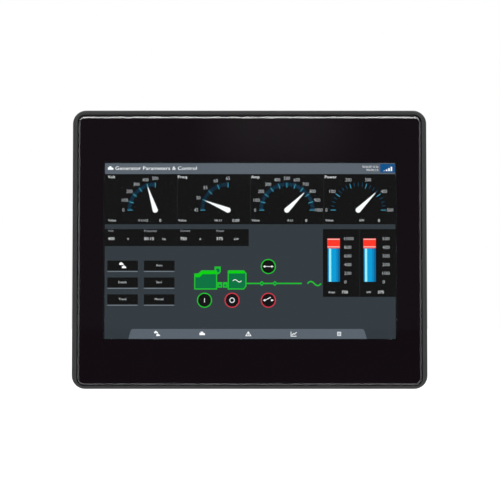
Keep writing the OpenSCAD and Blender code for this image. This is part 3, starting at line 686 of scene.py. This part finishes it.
def lens(name, color, glow):
    """A tinted lamp lens."""
    material = surface(name, color, 0.22, 0.3, 0.004, vary=0.06, edge=0.05)
    shader = material.node_tree.nodes["Principled BSDF"]
    shader.inputs["Emission Color"].default_value = (*color, 1.0)
    shader.inputs["Emission Strength"].default_value = glow
    return material


def network_sockets():
    """The eight spring contacts and two lamps of each network socket."""
    low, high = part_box("ethernet_ports")
    y_wall = high.y / MM - 2.5
    face_z = low.z / MM
    contacts = bmesh.new()
    lamps = {"lamp_green": bmesh.new(), "lamp_amber": bmesh.new()}
    for centre in (low.x / MM + 8, high.x / MM - 8):
        for k in range(8):
            x = centre + (k - 3.5) * 1.02
            run = [(y_wall - 0.1, face_z + 10.5), (y_wall - 0.3, face_z + 3.2), (y_wall - 0.9, face_z + 2.6),
                   (y_wall - 3.4, face_z + 8.6), (y_wall - 3.7, face_z + 9.0)]
            upper = [(y + 0.18, z + 0.05) for y, z in run]
            lower = [(y - 0.18, z - 0.05) for y, z in run]
            ribbon(contacts, upper, lower, x - 0.22, x + 0.22, straight)
        for side, mesh in zip((-1, 1), lamps.values()):
            x = centre + side * 5.5
            y = low.y / MM + 1.55
            rounded_block(mesh, (x - 1.5, y - 0.9, face_z - 0.12), (x + 1.5, y + 0.9, face_z + 0.6), 0.2)
    make_piece("network_contacts", contacts, finishes["contact_gold"])
    green, amber = lens("lamp_green", (0.05, 0.5, 0.1), 0.5), lens("lamp_amber", (0.7, 0.3, 0.02), 0.4)
    make_piece("network_lamps_green", lamps["lamp_green"], green)
    make_piece("network_lamps_amber", lamps["lamp_amber"], amber)


def bus_socket():
    """The plastic tongue of the bus socket and its four contacts."""
    low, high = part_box("usb_port")
    x = (low.x + high.x) / 2 / MM
    y = low.y / MM
    face_z = low.z / MM
    tongue, contacts = bmesh.new(), bmesh.new()
    rounded_block(tongue, (x - 5.65, y + 3.1, face_z + 1.1), (x + 5.65, y + 5.2, face_z + 12.2), 0.15)
    for k in range(4):
        at = x + (k - 1.5) * 2.3
        rounded_block(contacts, (at - 0.5, y + 3.0, face_z + 2.2), (at + 0.5, y + 3.2, face_z + 9.5), 0.06)
    make_piece("bus_tongue", tongue, finishes["black_plastic"])
    make_piece("bus_contacts", contacts, finishes["contact_gold"])


def housing_print():
    """Numerals, polarity signs and the earth sign, printed under the housing beside the sockets."""
    print_t = 0.04
    low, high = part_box("rear_housing")
    under_z = low.z / MM
    ports_low, ports_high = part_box("ethernet_ports")
    supply_low, supply_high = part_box("power_header")
    earth_low, earth_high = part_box("earth_screw")
    mesh = bmesh.new()

    def under(point, depth):
        return (point[0] * MM, point[1] * MM, (under_z - depth) * MM)

    def dash(x0, y0, x1, y1):
        prism(mesh, [(x0, y0), (x1, y0), (x1, y1), (x0, y1)], print_t, 0.0, under)

    for numeral, x in (("1", ports_low.x / MM + 8), ("2", ports_high.x / MM - 8)):
        data = letters(numeral, 2.0 * MM, 0.02, None, "CENTER", print_t * MM)
        data.transform(Matrix.Translation(under((x, 9.6), print_t / 2)) @ Matrix.Rotation(math.pi, 4, "X"))
        mesh.from_mesh(data)
    x = (supply_low.x + supply_high.x) / 2 / MM
    dash(x - 6.2, 7.9, x - 4.0, 8.3)
    dash(x - 5.3, 7.0, x - 4.9, 9.2)
    dash(x - 1.1, 7.9, x + 1.1, 8.3)
    for centre in (x + 5.08, (earth_low.x + earth_high.x) / 2 / MM):
        dash(centre - 0.2, 6.4, centre + 0.2, 8.2)
        for half, y in ((1.3, 8.2), (0.85, 8.9), (0.4, 9.6)):
            dash(centre - half, y, centre + half, y + 0.35)
    white_print = surface("white_print", (0.72, 0.72, 0.7), 0.6, 0.2, 0.002, edge=0)
    make_piece("housing_print", mesh, white_print)


def plate_print():
    """The blank rating plate's printed border and its empty fields."""
    low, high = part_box("rating_plate")
    mesh = bmesh.new()
    x0, x1, z0, z1 = (v / MM for v in (low.x, high.x, low.z, high.z))
    y = high.y / MM
    inset = 2.0
    line = 0.3

    def behind(point, depth):
        return (point[0] * MM, (y + depth) * MM, point[1] * MM)

    def rule(xa, za, xb, zb):
        prism(mesh, [(xa, za), (xb, za), (xb, zb), (xa, zb)], 0.03, 0.0, behind)

    left, right, bottom, top = x0 + inset, x1 - inset, z0 + inset, z1 - inset
    for z in (bottom, top):
        rule(left, z - line / 2, right, z + line / 2)
    for x in (left, right):
        rule(x - line / 2, bottom + line / 2, x + line / 2, top - line / 2)
    rows = 4
    for k in range(1, rows):
        z = bottom + (top - bottom) * k / rows
        rule(left + line / 2, z - line / 3, right - line / 2, z + line / 3)
    black_ink = surface("black_ink", (0.02, 0.02, 0.02), 0.5, 0.2, 0.002, edge=0)
    make_piece("plate_print", mesh, black_ink)


network_sockets()
bus_socket()
housing_print()
plate_print()

# ---- Camera, light and floor -----------------------------------------------------------------------

scene = bpy.context.scene
scene.view_settings.view_transform = "Standard"
centre = Vector((0.0, FRONT_Y, 0.0))
aim = centre + Vector((0.2, 0.0, -0.43)) * MM
CAMERA_DISTANCE = 0.8
CAMERA_RISE = math.radians(-2.5)
camera_data = bpy.data.cameras.new("camera")
camera_data.lens = 109.3
camera_data.clip_end = 50.0
camera = bpy.data.objects.new("camera", camera_data)
scene.collection.objects.link(camera)
camera.location = aim + CAMERA_DISTANCE * Vector((0, -math.cos(CAMERA_RISE), math.sin(CAMERA_RISE)))
camera.rotation_euler = (aim - camera.location).to_track_quat("-Z", "Y").to_euler()
scene.camera = camera


def softbox(name, azimuth, elevation, distance, width, height, watts):
    """An area light that faces the panel. Azimuth 0 is straight in front, 90 to the right."""
    data = bpy.data.lights.new(name, "AREA")
    data.shape = "RECTANGLE"
    data.size, data.size_y = width, height
    data.energy = watts
    lamp_object = bpy.data.objects.new(name, data)
    a, e = math.radians(azimuth), math.radians(elevation)
    away = Vector((math.sin(a) * math.cos(e), -math.cos(a) * math.cos(e), math.sin(e)))
    lamp_object.location = centre + away * distance
    lamp_object.rotation_euler = (-away).to_track_quat("-Z", "Y").to_euler()
    scene.collection.objects.link(lamp_object)


softbox("key", 0, 54, 1.1, 0.9, 0.26, 8.8)
softbox("corner_left", -42, 40, 1.1, 0.5, 0.35, 3.3)
softbox("corner_right", 42, 40, 1.1, 0.5, 0.35, 3.3)
softbox("side_left", -52, 0, 1.2, 0.35, 0.9, 1.45)
softbox("side_right", 52, 0, 1.2, 0.35, 0.9, 1.25)
softbox("rear", 160, 40, 1.6, 1.0, 0.8, 16)

world = bpy.data.worlds.new("studio")
scene.world = world
world.use_nodes = True
sky = world.node_tree
sky.nodes.clear()
direction = add(sky, "ShaderNodeTexCoord")
axes = add(sky, "ShaderNodeSeparateXYZ")
sky.links.new(direction.outputs["Generated"], axes.inputs[0])


# Straight ahead of the glass the room is dark, with a faint glow above; elsewhere it is pale
ROOM_DARK = 0.07
ROOM_GLOW = 0.24
ROOM_PALE = 0.45
beside = add(sky, "ShaderNodeMath", {1: 0.02}, operation="SUBTRACT")
sky.links.new(axes.outputs["X"], beside.inputs[0])
off_axis = add(sky, "ShaderNodeMath", operation="ABSOLUTE")
sky.links.new(beside.outputs[0], off_axis.inputs[0])
across = ramp(sky, off_axis.outputs[0], 0.015, 0.065, 1.0, 0.0)
above = ramp(sky, axes.outputs["Z"], 0.08, 0.13, ROOM_DARK, ROOM_GLOW)
ahead = blend(sky, across, ROOM_DARK, above)
room = blend(sky, ramp(sky, axes.outputs["Y"], -0.95, -0.8, 0.0, 1.0), ahead, ROOM_PALE)
seen = add(sky, "ShaderNodeLightPath")
glow = add(sky, "ShaderNodeBackground", {0: (1, 1, 1, 1)})
sky.links.new(blend(sky, seen.outputs["Is Camera Ray"], room, 1.0), glow.inputs[1])
out = add(sky, "ShaderNodeOutputWorld")
sky.links.new(glow.outputs[0], out.inputs[0])

# The floor is pale, but glossy parts don't mirror its far reaches, and it can't be seen from below
FLOOR_DROP = 0.1
FLOOR_SIZE = 30.0
FLOOR_NEAR, FLOOR_FAR = 0.5, 1.3
FLOOR_SEEN, FLOOR_GLOW = 0.75, 0.45
floor_material, floor_tree, floor_shader = new_material("floor")
place = own_space(floor_tree)
reach = add(floor_tree, "ShaderNodeVectorMath", operation="LENGTH")
floor_tree.links.new(place, reach.inputs[0])
floor_path = add(floor_tree, "ShaderNodeLightPath")
fading = ramp(floor_tree, reach.outputs["Value"], FLOOR_NEAR, FLOOR_FAR, 1.0, 0.04)
kept = blend(floor_tree, floor_path.outputs["Is Glossy Ray"], 1.0, fading)
floor_pale = mix(floor_tree, noise(floor_tree, place, 0.3), (0.88, 0.88, 0.88, 1), (0.92, 0.92, 0.92, 1))
floor_tree.links.new(mix(floor_tree, kept, (0, 0, 0, 1), floor_pale), floor_shader.inputs["Base Color"])
floor_shader.inputs["Roughness"].default_value = 0.9
floor_shader.inputs["Specular IOR Level"].default_value = 0.0
floor_shader.inputs["Emission Color"].default_value = (1, 1, 1, 1)
floor_light = blend(floor_tree, kept, 0.0, FLOOR_GLOW)
floor_glow = blend(floor_tree, floor_path.outputs["Is Camera Ray"], floor_light, FLOOR_SEEN)
floor_tree.links.new(floor_glow, floor_shader.inputs["Emission Strength"])
side = add(floor_tree, "ShaderNodeNewGeometry")
gone = add(floor_tree, "ShaderNodeBsdfTransparent")
either = add(floor_tree, "ShaderNodeMixShader")
floor_output = next(node for node in floor_tree.nodes if node.type == "OUTPUT_MATERIAL")
floor_tree.links.new(side.outputs["Backfacing"], either.inputs[0])
floor_tree.links.new(floor_shader.outputs[0], either.inputs[1])
floor_tree.links.new(gone.outputs[0], either.inputs[2])
floor_tree.links.new(either.outputs[0], floor_output.inputs[0])
floor_mesh = bmesh.new()
bmesh.ops.create_grid(floor_mesh, x_segments=1, y_segments=1, size=FLOOR_SIZE / 2)
floor_data = bpy.data.meshes.new("floor")
floor_mesh.to_mesh(floor_data)
floor_mesh.free()
floor_data.materials.append(floor_material)
floor = bpy.data.objects.new("floor", floor_data)
floor.location.z = cad_box[0].z - FLOOR_DROP
scene.collection.objects.link(floor)
